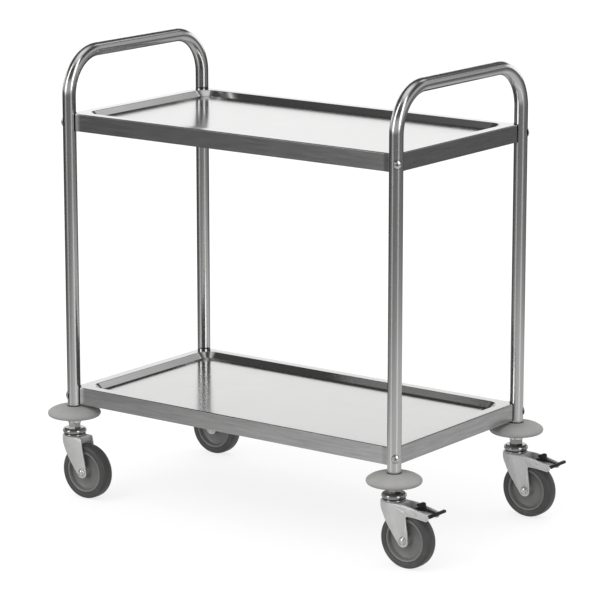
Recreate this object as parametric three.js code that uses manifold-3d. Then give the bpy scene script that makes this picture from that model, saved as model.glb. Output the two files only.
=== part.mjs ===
// Two-shelf stainless steel trolley: bent-tube end frames, pressed tray shelves,
// disc bumpers and four swivel casters, two of them with a brake pedal.
// Millimetres. +X runs along the length, +Y across it and +Z up from the floor.
// The casters stand with their wheels trailing towards +X.

import * as THREE from 'three';
import { mergeVertices } from 'three/addons/utils/BufferGeometryUtils.js';
import Module from 'manifold-3d';

const wasm = await Module();
wasm.setup();

// ---- driving dimensions ----------------------------------------------------

const POST_X = 442; // half the distance between the end frames
const POST_Y = 237; // half the distance between the posts of one end frame
const TUBE_R = 15;
const TUBE_WALL = 1.5;
const HANDLE_Z = 1013; // height of the handle's centre line
const HANDLE_BEND_R = 96;
const TUBE_END_Z = 172;

const UPPER_TOP_Z = 880;
const LOWER_TOP_Z = 254;
const APRON_H = 39;
const SHEET = 1.2;
const RIM_W = 24; // flat rim around the tray
const TRAY_DEPTH = 12;
const TRAY_WALL_RUN = 13; // how far the tray's sloping wall reaches inwards
const TRAY_CORNER_R = 34;

const BUMPER_R = 60;
const BUMPER_RISE = 16.5; // from the widest part up to the top and down to the underside
const BUMPER_DROP = 8.5;
const BUMPER_Z = 194;
const SLIPPED_BUMPER_Z = 185; // the front right bumper sits lower on its post

const WHEEL_R = 62.5;
const TYRE_W = 31;
const RIM_R = 47.5;
const TRAIL = 37; // from the swivel axis to the axle
const AXLE_R = 4;
const RACE_R = 27;
const LEG_IN = 19; // from the caster's middle plane to the fork legs
const LEG_T = 2.5;
const CROWN_Z = 142; // top of the fork's crown
const PEDAL_REACH = 113; // from the swivel axis to the tip of a brake pedal

const GAP = 0.3; // left between neighbouring pieces
const OVERSHOOT = 1; // how far a cutting body runs past what it cuts

const BOLT_R = 3;
const BOLT_HOLE_R = 3.5;
const BOLT_HEAD_R = 8;

// Sides of the round pieces, by size.
const TUBE_SIDES = 12;
const WHEEL_SIDES = 20;
const ROUND_SIDES = 12;
const SMALL_SIDES = 8;
const HEX_SIDES = 6;

// The bumpers reach furthest on the left and the brake pedals on the right.
const SHIFT_X = (BUMPER_R - PEDAL_REACH) / 2;

const CORNERS = [
  { name: 'front_left', x: -POST_X, y: -POST_Y, brake: false },
  { name: 'front_right', x: POST_X, y: -POST_Y, brake: true },
  { name: 'rear_left', x: -POST_X, y: POST_Y, brake: false },
  { name: 'rear_right', x: POST_X, y: POST_Y, brake: true },
];

const SHELVES = [
  { name: 'upper', top: UPPER_TOP_Z },
  { name: 'lower', top: LOWER_TOP_Z },
];

// ---- materials -------------------------------------------------------------

function metal(color, roughness) {
  return new THREE.MeshStandardMaterial({ color, roughness, metalness: 1 });
}

function plastic(color, roughness) {
  return new THREE.MeshStandardMaterial({ color, roughness, metalness: 0 });
}

const MATERIALS = {
  tube: metal(0xb4b4b0, 0.22),
  shelf: metal(0xb9b9b6, 0.34),
  bolt: metal(0xc8c8c6, 0.18),
  bumper: plastic(0x9d9e9b, 0.75),
  chrome: metal(0xd6d6d4, 0.1),
  zinc: metal(0xb5b6b4, 0.38),
  core: plastic(0x8e8e8b, 0.55),
  tyre: plastic(0x5a5b58, 0.7),
  black: plastic(0x161616, 0.5),
};

// ---- solid helpers ---------------------------------------------------------

// Merge shared corners, drop flat triangles and face the surface outwards.
function closed(geometry) {
  const bare = geometry.clone();
  bare.deleteAttribute('normal');
  bare.deleteAttribute('uv');
  const merged = mergeVertices(bare, 1e-4);
  const point = merged.attributes.position;
  const [a, b, c] = [new THREE.Vector3(), new THREE.Vector3(), new THREE.Vector3()];
  const kept = [];
  let volume = 0;
  for (let i = 0; i < merged.index.count; i += 3) {
    const [p, q, r] = [0, 1, 2].map((k) => merged.index.getX(i + k));
    if (p === q || q === r || r === p) continue;
    kept.push([p, q, r]);
    a.fromBufferAttribute(point, p);
    b.fromBufferAttribute(point, q);
    c.fromBufferAttribute(point, r);
    volume += a.dot(b.cross(c));
  }
  const faces = volume < 0 ? kept.map(([p, q, r]) => [p, r, q]) : kept;
  merged.setIndex(faces.flat());
  return merged;
}

function solid(geometry) {
  const shape = closed(geometry);
  return new wasm.Manifold(new wasm.Mesh({
    numProp: 3,
    vertProperties: new Float32Array(shape.attributes.position.array),
    triVerts: new Uint32Array(shape.index.array),
  }));
}

function cut(body, ...tools) {
  return tools.reduce((rest, tool) => rest.subtract(tool), body);
}

function join(...bodies) {
  return bodies.reduce((whole, body) => whole.add(body));
}

function geometryOf(body) {
  const mesh = body.getMesh();
  const geometry = new THREE.BufferGeometry();
  geometry.setAttribute('position', new THREE.BufferAttribute(mesh.vertProperties, 3));
  geometry.setIndex(new THREE.BufferAttribute(mesh.triVerts, 1));
  return geometry;
}

function box(x0, x1, y0, y1, z0, z1) {
  const geometry = new THREE.BoxGeometry(x1 - x0, y1 - y0, z1 - z0);
  return geometry.translate((x0 + x1) / 2, (y0 + y1) / 2, (z0 + z1) / 2);
}

// Corner radius of a many-sided hole whose flats lie at the given radius.
function around(radius, sides) {
  return radius / Math.cos(Math.PI / sides);
}

// A body turned about +Z from a profile of [radius, height] pairs. A ring's
// profile closes on itself; any other starts and ends on the axis.
function turned(profile, sides, ring = false) {
  const outline = ring ? [...profile, profile[0]] : profile;
  const points = outline.map(([r, z]) => new THREE.Vector2(r, z));
  return new THREE.LatheGeometry(points, sides).rotateX(Math.PI / 2);
}

function rod(radius, z0, z1, sides) {
  return turned([[0, z0], [radius, z0], [radius, z1], [0, z1]], sides);
}

// Turn a body built along +Z so that it lies along +Y.
function alongY(geometry) {
  return geometry.rotateX(-Math.PI / 2);
}

// An outline in X and Z, given as [x, z] pairs, made into a plate from y0 to y1.
function plate(outline, y0, y1) {
  const shape = new THREE.Shape(outline.map(([x, z]) => new THREE.Vector2(x, z)));
  const geometry = new THREE.ExtrudeGeometry(shape, {
    depth: y1 - y0, bevelEnabled: false, steps: 1,
  });
  return geometry.rotateX(Math.PI / 2).translate(0, y1, 0);
}

// Points on an arc, angles in degrees.
function arc(cx, cy, r, from, to, steps) {
  return Array.from({ length: steps + 1 }, (_, i) => {
    const t = THREE.MathUtils.degToRad(from + ((to - from) * i) / steps);
    return [cx + r * Math.cos(t), cy + r * Math.sin(t)];
  });
}

function roundedRectangle(halfX, halfY, r, steps) {
  return [
    ...arc(halfX - r, halfY - r, r, 0, 90, steps),
    ...arc(r - halfX, halfY - r, r, 90, 180, steps),
    ...arc(r - halfX, r - halfY, r, 180, 270, steps),
    ...arc(halfX - r, r - halfY, r, 270, 360, steps),
  ];
}

// A body whose walls join two convex outlines with the same number of points.
function tapered(lower, z0, upper, z1) {
  const n = lower.length;
  const points = [
    ...lower.map(([x, y]) => [x, y, z0]),
    ...upper.map(([x, y]) => [x, y, z1]),
  ];
  const faces = [];
  for (let i = 0; i < n; i += 1) {
    const j = (i + 1) % n;
    faces.push(i, j, n + j, i, n + j, n + i);
    if (i > 0 && j > 0) faces.push(0, j, i, n, n + i, n + j);
  }
  const geometry = new THREE.BufferGeometry();
  geometry.setAttribute('position', new THREE.Float32BufferAttribute(points.flat(), 3));
  geometry.setIndex(faces);
  return geometry;
}

// ---- end frames ------------------------------------------------------------

// A path of straights and bends that is sampled only where it turns.
class SteppedPath extends THREE.Curve {
  constructor(stations) {
    super();
    this.stations = stations;
  }

  station(u) {
    return this.stations[Math.round(u * (this.stations.length - 1))];
  }

  getPointAt(u) {
    return this.station(u).point.clone();
  }

  getTangentAt(u) {
    return this.station(u).tangent.clone();
  }
}

const BEND_STEPS = 6;

function handlePath(x) {
  const station = (y, z, dy, dz) => ({
    point: new THREE.Vector3(x, y, z),
    tangent: new THREE.Vector3(0, dy, dz),
  });
  const bendY = POST_Y - HANDLE_BEND_R;
  const bendZ = HANDLE_Z - HANDLE_BEND_R;
  const stations = [station(-POST_Y, TUBE_END_Z, 0, 1)];
  for (const side of [-1, 1]) {
    for (let i = 0; i <= BEND_STEPS; i += 1) {
      const turn = (i / BEND_STEPS) * (Math.PI / 2);
      const angle = side < 0 ? Math.PI - turn : Math.PI / 2 - turn;
      stations.push(station(
        side * bendY + HANDLE_BEND_R * Math.cos(angle),
        bendZ + HANDLE_BEND_R * Math.sin(angle),
        Math.sin(angle),
        -Math.cos(angle),
      ));
    }
  }
  stations.push(station(POST_Y, TUBE_END_Z, 0, -1));
  return new SteppedPath(stations);
}

function circlePoints(r, sides) {
  return Array.from({ length: sides }, (_, i) => {
    const t = ((i + 0.5) / sides) * 2 * Math.PI;
    return new THREE.Vector2(r * Math.cos(t), r * Math.sin(t));
  });
}

// Direction of the corner bolts, pointing out of the trolley at a corner.
function outward(corner) {
  return Math.atan2(Math.sign(corner.y), Math.sign(corner.x));
}

// Move a body built along +Z onto a corner's bolt line, heading outwards.
function ontoBoltLine(geometry, corner, z) {
  geometry.rotateY(Math.PI / 2).rotateZ(outward(corner));
  return geometry.translate(corner.x, corner.y, z);
}

function boltZ(shelf) {
  return shelf.top - APRON_H / 2;
}

function endFrame(side) {
  const path = handlePath(side * POST_X);
  const section = new THREE.Shape(circlePoints(TUBE_R, TUBE_SIDES));
  section.holes.push(new THREE.Path(circlePoints(TUBE_R - TUBE_WALL, TUBE_SIDES)));
  const tube = new THREE.ExtrudeGeometry(section, {
    steps: path.stations.length - 1, bevelEnabled: false, extrudePath: path,
  });
  const holes = [];
  for (const corner of CORNERS.filter((c) => Math.sign(c.x) === side)) {
    for (const shelf of SHELVES) {
      const drill = rod(BOLT_HOLE_R, -2 * TUBE_R, 2 * TUBE_R, SMALL_SIDES);
      holes.push(solid(ontoBoltLine(drill, corner, boltZ(shelf))));
    }
  }
  return geometryOf(cut(solid(tube), ...holes));
}

// ---- shelves ---------------------------------------------------------------

const TRAY_STEPS = 3;
const SADDLE_R = around(TUBE_R + GAP, TUBE_SIDES);
const NUT_ACROSS = 5.5; // half the width of the welded nut
const NUT_H = 5;
const NUT_START = TUBE_R + GAP + SHEET;

// The tray's recess, grown by the given thickness on its underside.
function recess(grow) {
  const openX = POST_X - RIM_W + grow;
  const openY = POST_Y - RIM_W + grow;
  const floorX = openX - TRAY_WALL_RUN;
  const floorY = openY - TRAY_WALL_RUN;
  const floorR = TRAY_CORNER_R - TRAY_WALL_RUN + grow;
  const openR = TRAY_CORNER_R + grow;
  const slope = TRAY_WALL_RUN / TRAY_DEPTH;
  const floor = roundedRectangle(floorX, floorY, floorR, TRAY_STEPS);
  const above = slope * OVERSHOOT;
  const mouth = roundedRectangle(openX + above, openY + above, openR + above, TRAY_STEPS);
  return solid(tapered(floor, -TRAY_DEPTH - grow, mouth, OVERSHOOT));
}

// A pressed tray with a deep apron, hollow from below, notched round each post.
function shelf(level) {
  const outside = solid(box(-POST_X, POST_X, -POST_Y, POST_Y, -APRON_H, 0));
  const insideX = POST_X - SHEET;
  const insideY = POST_Y - SHEET;
  let hollow = solid(box(-insideX, insideX, -insideY, insideY, -APRON_H - OVERSHOOT, -SHEET));
  hollow = hollow.subtract(recess(SHEET));
  const notches = [];
  const weldNuts = [];
  for (const corner of CORNERS) {
    const saddle = rod(SADDLE_R + SHEET, -2 * APRON_H, APRON_H, TUBE_SIDES);
    hollow = hollow.subtract(solid(saddle.translate(corner.x, corner.y, 0)));
    const notch = rod(SADDLE_R, -2 * APRON_H, APRON_H, TUBE_SIDES);
    notches.push(solid(notch.translate(corner.x, corner.y, 0)));
    const nut = rod(NUT_ACROSS, -NUT_START - NUT_H, -NUT_START + SHEET / 2, HEX_SIDES);
    weldNuts.push(solid(ontoBoltLine(nut, corner, -APRON_H / 2)));
    const hole = rod(BOLT_HOLE_R, -2 * TUBE_R, 0, SMALL_SIDES);
    notches.push(solid(ontoBoltLine(hole, corner, -APRON_H / 2)));
  }
  const pressed = cut(outside, recess(0), hollow);
  const whole = cut(join(pressed, ...weldNuts), ...notches);
  return geometryOf(whole).translate(0, 0, level.top);
}

const STIFFENER_HALF_W = 45;
const STIFFENER_FLANGE = 14;
const STIFFENER_H = 18;

// A hat section that runs lengthwise under the tray's floor.
function stiffener(level) {
  const floorUnder = level.top - TRAY_DEPTH - SHEET - GAP;
  const low = floorUnder - STIFFENER_H;
  const inner = STIFFENER_HALF_W - STIFFENER_FLANGE;
  const half = [
    [STIFFENER_HALF_W, floorUnder], [STIFFENER_HALF_W, floorUnder - SHEET],
    [inner, floorUnder - SHEET], [inner, low],
  ];
  const innerHalf = [
    [inner - SHEET, floorUnder], [inner - SHEET, low + SHEET],
  ];
  const mirrored = (points) => points.map(([y, z]) => [-y, z]).reverse();
  const outline = [
    ...half, ...mirrored(half), ...mirrored(innerHalf).reverse(), ...innerHalf.reverse(),
  ];
  const length = POST_X - RIM_W - TRAY_WALL_RUN - 10;
  const rail = plate(outline, -length, length);
  return closed(rail.rotateZ(Math.PI / 2));
}

// Flat-topped screw with a cross recess, driven through the post into the shelf.
function shelfBolt(corner, level) {
  const seat = TUBE_R + GAP + 0.2;
  const tip = -NUT_START - NUT_H - 2;
  const head = [
    [0, tip], [BOLT_R, tip], [BOLT_R, seat], [BOLT_HEAD_R, seat],
    [BOLT_HEAD_R, seat + 0.8], [BOLT_HEAD_R - 1.8, seat + 1.9], [0, seat + 2.2],
  ];
  const across = [BOLT_HEAD_R - 4, 0.7];
  const slots = [[0, 1], [1, 0]].map(([i, j]) => solid(box(
    -across[i], across[i], -across[j], across[j], seat + 1.1, seat + 4,
  )));
  const bolt = geometryOf(cut(solid(turned(head, ROUND_SIDES)), ...slots));
  return ontoBoltLine(bolt, corner, boltZ(level));
}

// ---- bumpers ---------------------------------------------------------------

// A disc with a nearly flat underside and a domed top.
function bumper(corner) {
  const bore = around(TUBE_R + GAP, WHEEL_SIDES);
  const profile = [
    [bore, -BUMPER_DROP], [BUMPER_R - 10, 0.5 - BUMPER_DROP], [BUMPER_R - 2.5, -4],
    [BUMPER_R, 0], [BUMPER_R - 2, 4], [BUMPER_R - 8, BUMPER_RISE - 8],
    [BUMPER_R - 20, BUMPER_RISE - 3.5], [bore, BUMPER_RISE],
  ];
  const z = corner.name === 'front_right' ? SLIPPED_BUMPER_Z : BUMPER_Z;
  return closed(turned(profile, WHEEL_SIDES, true)).translate(corner.x, corner.y, z);
}

// ---- caster heads, fixed in the posts --------------------------------------

const STEM_R = 9;
const STEM_TOP_Z = 214;
const COLLAR_R = 15;
const COLLAR_TOP_Z = TUBE_END_Z - GAP;
const UPPER_RACE_Z = [147, 159.5];
const LOWER_RACE_Z = [CROWN_Z + GAP, UPPER_RACE_Z[0] - GAP];
const KINGPIN_R = 6;
const CROWN_T = 2.8;
const KINGPIN_HEAD_R = 10;
const EXPANDER_Z = [176, 208];

// Stem with a hexagonal collar, bulging upper race and riveted king pin, all one piece.
function casterHead(corner) {
  const [raceLow, raceTop] = UPPER_RACE_Z;
  const rivetTop = CROWN_Z - CROWN_T - GAP;
  const profile = [
    [0, rivetTop - 5], [KINGPIN_HEAD_R - 2, rivetTop - 5], [KINGPIN_HEAD_R, rivetTop],
    [KINGPIN_R, rivetTop], [KINGPIN_R, raceLow],
    [RACE_R - 3, raceLow], [RACE_R - 0.5, raceLow + 2.5], [RACE_R, raceLow + 6],
    [RACE_R - 1.5, raceTop - 3], [RACE_R - 6, raceTop], [STEM_R, raceTop],
    [STEM_R, STEM_TOP_Z], [0, STEM_TOP_Z],
  ];
  const turnedPart = solid(turned(profile, ROUND_SIDES));
  const collar = solid(rod(COLLAR_R, raceTop - OVERSHOOT, COLLAR_TOP_Z, HEX_SIDES));
  return geometryOf(join(turnedPart, collar)).translate(corner.x, corner.y, 0);
}

// Split sleeve that grips the tube's bore as the stem is drawn down.
function stemExpander(corner) {
  const outer = (TUBE_R - TUBE_WALL) * Math.cos(Math.PI / TUBE_SIDES) - GAP;
  const inner = around(STEM_R + GAP, ROUND_SIDES);
  const [low, high] = EXPANDER_Z;
  const ring = solid(turned(
    [[inner, low], [outer, low], [outer, high], [inner, high]], ROUND_SIDES, true,
  ));
  const slit = solid(box(0, 2 * outer, -1, 1, low - OVERSHOOT, high + OVERSHOOT));
  return geometryOf(ring.subtract(slit)).translate(corner.x, corner.y, 0);
}

// ---- swivelling forks ------------------------------------------------------

const LEG_OUT = LEG_IN + LEG_T;
const AXLE_Z = WHEEL_R;
const HUB_END_R = 13;
const FRONT_X = 31.5; // how far the fork's rounded front reaches from the swivel axis
// The skirt under the crown's front, seen from the side.
const SKIRT_VIEW = [
  [-FRONT_X - 1, CROWN_Z], [-FRONT_X - 1, 133], [-24, 125], [-17, 117], [-9, 102],
  [0, 102], [0, CROWN_Z],
];
const LIP_X = [26.5, 29]; // the crown's rear lip, turned down between the legs
const LIP_LOW_Z = 128;
const PIN_X = 71;
const PIN_Z = 125;
const PIN_R = 3;
const KINGPIN_BORE_R = around(KINGPIN_R + GAP, ROUND_SIDES);
const AXLE_BORE_R = around(AXLE_R + GAP, SMALL_SIDES);
const PIN_BORE_R = around(PIN_R + GAP, SMALL_SIDES);

// The leg's front edge, shared by both kinds of fork, from the crown downwards.
const LEG_FRONT = [[-9, CROWN_Z], [-9, 102], [14, 71]];

function legOutline(brake) {
  const hub = arc(TRAIL, AXLE_Z, HUB_END_R, 205, 345, 4);
  const rear = brake
    ? [
      [TRAIL + 11.5, 82], [46, 95], [43.5, 119], [68, 118.5],
      ...arc(94.5, 122.8, 7, 255, 420, 4),
      [56, 138.6], [31, CROWN_Z],
    ]
    : [[TRAIL + 8, 80], [40, 108], [37, 124], [33, 135], [26, CROWN_Z]];
  return [...LEG_FRONT, ...hub, ...rear];
}

// The fork's rounded front as seen from above, half an ellipse cut off at the given angles.
function frontArc(inset, from, to) {
  return arc(0, 0, 1, from, to, 6).map(([i, j]) => [i * (FRONT_X - inset), j * (LEG_OUT - inset)]);
}

function crownOutline() {
  return [...frontArc(0, 90, 270), [29, -LEG_OUT], [29, LEG_OUT]];
}

function flatBody(outline, z0, z1) {
  const shape = new THREE.Shape(outline.map(([x, y]) => new THREE.Vector2(x, y)));
  const geometry = new THREE.ExtrudeGeometry(shape, { depth: z1 - z0, bevelEnabled: false });
  return geometry.translate(0, 0, z0);
}

function fork(corner) {
  const outline = legOutline(corner.brake);
  const legs = [-1, 1].map((side) => solid(
    side < 0 ? plate(outline, -LEG_OUT, -LEG_IN) : plate(outline, LEG_IN, LEG_OUT),
  ));
  const crown = solid(flatBody(crownOutline(), CROWN_Z - CROWN_T, CROWN_Z));
  const skirtOutline = [...frontArc(0, 100, 260), ...frontArc(LEG_T, 260, 100)];
  const band = solid(flatBody(skirtOutline, LEG_FRONT[1][1], CROWN_Z - CROWN_T / 2));
  const skirt = band.intersect(solid(plate(SKIRT_VIEW, -2 * LEG_OUT, 2 * LEG_OUT)));
  const across = [-LEG_OUT - OVERSHOOT, LEG_OUT + OVERSHOOT];
  const drills = [
    solid(rod(KINGPIN_BORE_R, CROWN_Z - 10, CROWN_Z + 10, ROUND_SIDES)),
    solid(alongY(rod(AXLE_BORE_R, ...across, SMALL_SIDES)).translate(TRAIL, 0, AXLE_Z)),
  ];
  if (corner.brake) {
    const pinHole = rod(PIN_BORE_R, ...across, SMALL_SIDES);
    drills.push(solid(alongY(pinHole).translate(PIN_X, 0, PIN_Z)));
  }
  const lip = solid(box(...LIP_X, -LEG_IN - OVERSHOOT, LEG_IN + OVERSHOOT, LIP_LOW_Z, CROWN_Z));
  const body = cut(join(crown, skirt, lip, ...legs), ...drills);
  return geometryOf(body).translate(corner.x, corner.y, 0);
}

// Ball ring between the fork's crown and the upper race.
function lowerRace(corner) {
  const [low, high] = LOWER_RACE_Z;
  const bore = KINGPIN_BORE_R;
  const profile = [
    [bore, low], [RACE_R - 2, low], [RACE_R - 1, low + 2], [RACE_R - 1.2, high - 2.5],
    [RACE_R - 3.5, high], [bore, high],
  ];
  return closed(turned(profile, ROUND_SIDES, true)).translate(corner.x, corner.y, 0);
}

// ---- wheels ----------------------------------------------------------------

const HUB_R = 19;
const HUB_HALF_W = 17.6;
const SLEEVE_R = 6.5;
const SLEEVE_HALF_W = LEG_IN - GAP;

function atAxle(geometry, corner) {
  return closed(alongY(geometry)).translate(corner.x + TRAIL, corner.y, AXLE_Z);
}

// Lathe with a flat side facing straight down once it lies along +Y.
function wheelTurned(profile, sides) {
  return turned(profile, sides, true).rotateZ(Math.PI / sides);
}

function tyre(corner) {
  const half = TYRE_W / 2;
  const bore = around(RIM_R + GAP, WHEEL_SIDES);
  const tread = around(WHEEL_R, WHEEL_SIDES);
  const side = [[bore, half - 2], [bore + 5, half], [tread - 6, half], [tread, half - 4]];
  const profile = [
    ...side.map(([r, y]) => [r, -y]),
    ...[...side].reverse(),
  ];
  return atAxle(wheelTurned(profile, WHEEL_SIDES), corner);
}

function wheelCore(corner) {
  const bore = around(SLEEVE_R + GAP, WHEEL_SIDES);
  const rimHalf = TYRE_W / 2 - 2;
  const webHalf = 4;
  const half = [
    [bore, HUB_HALF_W], [HUB_R, HUB_HALF_W], [HUB_R + 2, webHalf],
    [RIM_R - 7, webHalf], [RIM_R - 4, rimHalf], [RIM_R, rimHalf],
  ];
  const profile = [...half.map(([r, y]) => [r, -y]), ...[...half].reverse()];
  return atAxle(wheelTurned(profile, WHEEL_SIDES), corner);
}

function axleSleeve(corner) {
  const inner = AXLE_BORE_R;
  const profile = [
    [inner, -SLEEVE_HALF_W], [SLEEVE_R, -SLEEVE_HALF_W],
    [SLEEVE_R, SLEEVE_HALF_W], [inner, SLEEVE_HALF_W],
  ];
  return atAxle(turned(profile, SMALL_SIDES, true), corner);
}

const FLANGE_R = 9;
const HEX_R = 7.5;
const AXLE_HEAD_H = 5;
const AXLE_NUT_H = 6.5;
const AXLE_NUT_BORE_R = around(AXLE_R + GAP, ROUND_SIDES);

// Flanged hex bolt: its head is outside the leg on the -Y side.
function axleBolt(corner) {
  const seat = LEG_OUT + GAP;
  const tip = seat + AXLE_NUT_H + 2;
  const flange = [
    [0, -seat - 1.5], [FLANGE_R, -seat - 1.5], [FLANGE_R, -seat],
    [AXLE_R, -seat], [AXLE_R, tip], [0, tip],
  ];
  const hexHead = rod(HEX_R, -seat - AXLE_HEAD_H, -seat - 1, HEX_SIDES);
  const whole = join(solid(turned(flange, ROUND_SIDES)), solid(hexHead));
  return atAxle(geometryOf(whole), corner);
}

function axleNut(corner) {
  const seat = LEG_OUT + GAP;
  const nut = solid(rod(HEX_R, seat, seat + AXLE_NUT_H, HEX_SIDES));
  const past = seat + AXLE_NUT_H + OVERSHOOT;
  const thread = solid(rod(AXLE_NUT_BORE_R, seat - OVERSHOOT, past, ROUND_SIDES));
  return atAxle(geometryOf(nut.subtract(thread)), corner);
}

// ---- brake pedals ----------------------------------------------------------

const LEVER_HALF_W = 12;
const EYE_R = 7;
const PLATE_Z = 127; // underside of the lever's plate
const PLATE_T = 2.5;
const TREAD_HALF_W = 30;
const TREAD_X = [106, PEDAL_REACH];
const KNOB_X = [66, 78];
const KNOB_HALF_W = 7;
const KNOB_TOP_Z = 148;
const SPINE_HALF_W = 4;

// Steel lever: an eye round the pin, whose lower side is the brake shoe.
function brakeLever(corner) {
  const top = PLATE_Z + PLATE_T;
  const tipX = TREAD_X[0] + 2;
  const outline = [
    ...arc(PIN_X, PIN_Z, EYE_R, 40, 375, 12), [tipX, PLATE_Z], [tipX, top],
  ];
  const body = solid(plate(outline, -LEVER_HALF_W, LEVER_HALF_W));
  const across = [-LEVER_HALF_W - OVERSHOOT, LEVER_HALF_W + OVERSHOOT];
  const eye = alongY(rod(PIN_BORE_R, ...across, SMALL_SIDES)).translate(PIN_X, 0, PIN_Z);
  return geometryOf(body.subtract(solid(eye))).translate(corner.x, corner.y, 0);
}

// Black moulding clipped over the lever: release knob with a nose, spine and tread bar.
function brakePedal(corner) {
  const seat = PLATE_Z + PLATE_T + GAP;
  const [knob0, knob1] = KNOB_X;
  const [tread0, tread1] = TREAD_X;
  const knobLow = PIN_Z + EYE_R + GAP;
  const knob = solid(plate([
    [knob0, knobLow], [knob1, knobLow], [knob1, KNOB_TOP_Z - 3],
    [knob1 - 3, KNOB_TOP_Z], [knob0 + 3, KNOB_TOP_Z], [knob0, KNOB_TOP_Z - 3],
  ], -KNOB_HALF_W, KNOB_HALF_W));
  const nose = solid(box(
    knob0 - 6, knob0 + 2, 2 - KNOB_HALF_W, KNOB_HALF_W - 2, KNOB_TOP_Z - 9, KNOB_TOP_Z - 3,
  ));
  const tail = solid(box(
    knob0 - 11, knob0 + 2, -SPINE_HALF_W, SPINE_HALF_W, knobLow, knobLow + 3.5,
  ));
  const spine = solid(plate([
    [knob1 - 3, knobLow], [tread0 + 2, seat + 0.5], [tread0 + 2, seat + 3],
    [knob1 - 3, knobLow + 5],
  ], -SPINE_HALF_W, SPINE_HALF_W));
  const lip = tread0 + 2 + GAP;
  const tread = solid(plate([
    [tread0, seat], [lip, seat], [lip, PLATE_Z - 0.5], [tread1 - 1.5, PLATE_Z - 0.5],
    [tread1, PLATE_Z + 1], [tread1, seat + 1.5], [tread1 - 1.5, seat + 3], [tread0, seat + 3],
  ], -TREAD_HALF_W, TREAD_HALF_W));
  return geometryOf(join(knob, nose, tail, spine, tread)).translate(corner.x, corner.y, 0);
}

function brakePin(corner) {
  const pin = alongY(rod(PIN_R, -LEG_OUT, LEG_OUT, SMALL_SIDES));
  return closed(pin).translate(corner.x + PIN_X, corner.y, PIN_Z);
}

// ---- assembly --------------------------------------------------------------

const trolley = new THREE.Group();
trolley.position.x = SHIFT_X;

function add(name, geometry, material) {
  const mesh = new THREE.Mesh(geometry, MATERIALS[material]);
  mesh.name = name;
  trolley.add(mesh);
}

add('end_frame_left', endFrame(-1), 'tube');
add('end_frame_right', endFrame(1), 'tube');

for (const level of SHELVES) {
  add(`${level.name}_shelf`, shelf(level), 'shelf');
  add(`${level.name}_stiffener`, stiffener(level), 'shelf');
  for (const corner of CORNERS) {
    add(`${level.name}_bolt_${corner.name}`, shelfBolt(corner, level), 'bolt');
  }
}

for (const corner of CORNERS) {
  add(`bumper_${corner.name}`, bumper(corner), 'bumper');
  add(`caster_head_${corner.name}`, casterHead(corner), 'chrome');
  add(`stem_expander_${corner.name}`, stemExpander(corner), 'zinc');
  add(`fork_${corner.name}`, fork(corner), 'zinc');
  add(`lower_race_${corner.name}`, lowerRace(corner), 'chrome');
  add(`axle_bolt_${corner.name}`, axleBolt(corner), 'bolt');
  add(`axle_nut_${corner.name}`, axleNut(corner), 'bolt');
  add(`axle_sleeve_${corner.name}`, axleSleeve(corner), 'zinc');
  add(`wheel_core_${corner.name}`, wheelCore(corner), 'core');
  add(`tyre_${corner.name}`, tyre(corner), 'tyre');
  if (corner.brake) {
    add(`brake_lever_${corner.name}`, brakeLever(corner), 'zinc');
    add(`brake_pedal_${corner.name}`, brakePedal(corner), 'black');
    add(`brake_pin_${corner.name}`, brakePin(corner), 'bolt');
  }
}

export default trolley;
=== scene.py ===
"""Looks of the two-shelf stainless steel trolley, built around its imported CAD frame.

Metres, in the frame's own axes: +X along the length, +Y across it, +Z up from the floor.
Each fine mesh stands for the CAD node of the same name.
"""

import math

import bmesh
import bpy
from mathutils import Matrix, Vector


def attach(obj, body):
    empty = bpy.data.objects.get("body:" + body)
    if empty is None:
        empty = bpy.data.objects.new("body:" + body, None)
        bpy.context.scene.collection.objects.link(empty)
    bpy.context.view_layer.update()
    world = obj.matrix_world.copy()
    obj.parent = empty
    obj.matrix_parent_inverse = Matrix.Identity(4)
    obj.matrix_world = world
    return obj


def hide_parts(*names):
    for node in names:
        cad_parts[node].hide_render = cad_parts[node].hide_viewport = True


MM = 0.001

# ---- driving dimensions, the same as the CAD part's, in millimetres ----------

POST_X = 442
POST_Y = 237
SHIFT_X = -26.5  # where the middle of the posts lies in the frame
TUBE_R = 15
TUBE_WALL = 1.5
HANDLE_Z = 1013
HANDLE_BEND_R = 96
TUBE_END_Z = 172

SHELF_TOPS = {"upper": 880, "lower": 254}
APRON_H = 39
SHEET = 1.2
RIM_W = 24
TRAY_DEPTH = 12
TRAY_WALL_RUN = 13
TRAY_CORNER_R = 34
SADDLE_R = 15.9

BUMPER_R = 60
BUMPER_RISE = 16.5
BUMPER_DROP = 8.5
BUMPER_Z = 194
SLIPPED_BUMPER_Z = 185

WHEEL_R = 62.5
TYRE_W = 31
RIM_R = 47.5
TRAIL = 37
AXLE_R = 4
RACE_R = 27
LEG_IN = 19
LEG_OUT = 21.5
FRONT_X = 31.5  # how far a fork's rounded front reaches from the swivel axis
CROWN_Z = 142
CROWN_T = 2.8
PIN_X = 71
PIN_Z = 125
PIN_R = 3

GAP = 0.3
BOLT_R = 3
BOLT_HEAD_R = 8.2
HEX_R = 7.5  # from the middle of the axle bolt's head or nut to a corner
KINGPIN_HOLE_R = 6.5

CRISP = 32  # edges sharper than this many degrees aren't shaded smooth

CORNERS = {
    "front_left": (-1, -1),
    "front_right": (1, -1),
    "rear_left": (-1, 1),
    "rear_right": (1, 1),
}
BRAKED = ("front_right", "rear_right")

# ---- camera, in degrees and metres ------------------------------------------

CAMERA_AZIMUTH = 36.51  # from -Y towards +X
CAMERA_ELEVATION = 12.69
CAMERA_DISTANCE = 6.849
CAMERA_ASIDE = 0.029
CAMERA_TARGET_Z = 0.471
CAMERA_LENS = 181.0  # millimetres
CAMERA_SENSOR = 36  # millimetres

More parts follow.
